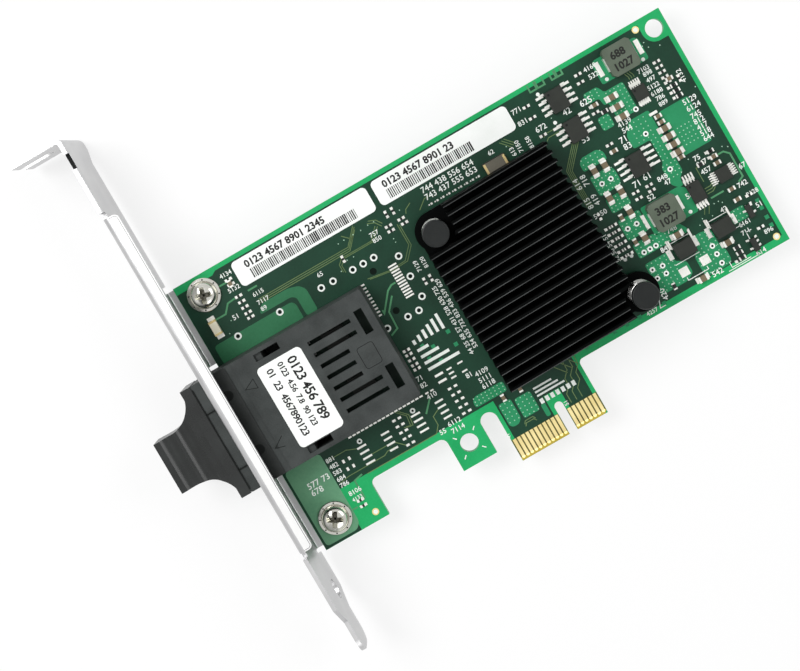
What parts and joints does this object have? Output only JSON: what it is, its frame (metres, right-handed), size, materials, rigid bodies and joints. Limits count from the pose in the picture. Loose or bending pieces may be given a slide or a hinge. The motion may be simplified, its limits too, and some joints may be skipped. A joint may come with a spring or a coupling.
{
  "type": "network interface card",
  "caption": "Short plug-in network card with an optical transceiver behind a full-height slot bracket and a finned heat sink held by spring-loaded push pins.",
  "frame": {"origin": "middle of the card edge's key notch, on the contact edge, on the board's solder face", "axes": "+X along the board away from the slot bracket, +Y from the contact edge to the board's top edge, +Z out of the component side"},
  "size_m": [0.1332, 0.12, 0.0216],
  "materials": {
    "board_green": "satin solder mask on glass-fibre laminate",
    "contact_gold": "gold-plated copper, polished",
    "bracket_steel": "bright nickel-plated sheet steel",
    "screw_steel": "bright zinc-plated steel",
    "module_black": "fine-grained moulded plastic",
    "inner_green": "satin solder mask",
    "chip_black": "moulded epoxy",
    "pin_tin": "bright tin plate",
    "optic_steel": "turned stainless steel",
    "plug_rubber": "soft moulded rubber",
    "label_paper": "coated label stock",
    "sink_aluminium": "black-anodised extrusion",
    "pad_grey": "soft filled silicone",
    "pin_black": "moulded nylon",
    "spring_steel": "drawn spring wire",
    "crystal_ceramic": "fired ceramic",
    "crystal_metal": "seam-welded lid",
    "lamp_clear": "clear moulded epoxy",
    "coil_grey": "pressed iron powder, coated",
    "ceramic_tan": "fired ceramic",
    "end_tin": "tin-plated ends",
    "resistor_dark": "glazed film on ceramic"
  },
  "bodies": {
    "root": {"circuit_board": "board_green", "edge_contacts": "contact_gold", "io_bracket": "bracket_steel", "bracket_screws": "screw_steel", "transceiver_housing": "module_black", "transceiver_base": "module_black", "transceiver_board": "inner_green", "transceiver_chips": "chip_black", "transceiver_pins": "pin_tin", "transmitter_optic": "optic_steel", "receiver_optic": "optic_steel", "dust_plug": "plug_rubber", "heat_sink": "sink_aluminium", "controller_chip": "chip_black", "thermal_pad": "pad_grey", "push_pins": "pin_black", "push_pin_springs": "spring_steel", "link_lamp": "lamp_clear", "upper_coil": "coil_grey", "lower_coil": "coil_grey", "coil_feet": "pin_tin", "crystal_base": "crystal_ceramic", "crystal_lid": "crystal_metal", "address_label": "label_paper", "serial_label": "label_paper", "transceiver_label": "label_paper", "capacitor_bodies": "ceramic_tan", "capacitor_ends": "end_tin", "resistor_bodies": "resistor_dark", "resistor_ends": "end_tin", "upper_switch": "chip_black", "upper_switch_leads": "pin_tin", "middle_switch": "chip_black", "middle_switch_leads": "pin_tin", "memory_chip": "chip_black", "memory_chip_leads": "pin_tin", "upper_driver": "chip_black", "upper_driver_leads": "pin_tin", "lower_driver": "chip_black", "lower_driver_leads": "pin_tin", "sense_chip": "chip_black", "sense_chip_leads": "pin_tin", "left_diode": "chip_black", "left_diode_leads": "pin_tin", "right_diode": "chip_black", "right_diode_leads": "pin_tin", "transistor": "chip_black", "transistor_leads": "pin_tin", "monitor_chip": "chip_black", "monitor_chip_leads": "pin_tin"}
  },
  "joints": []
}
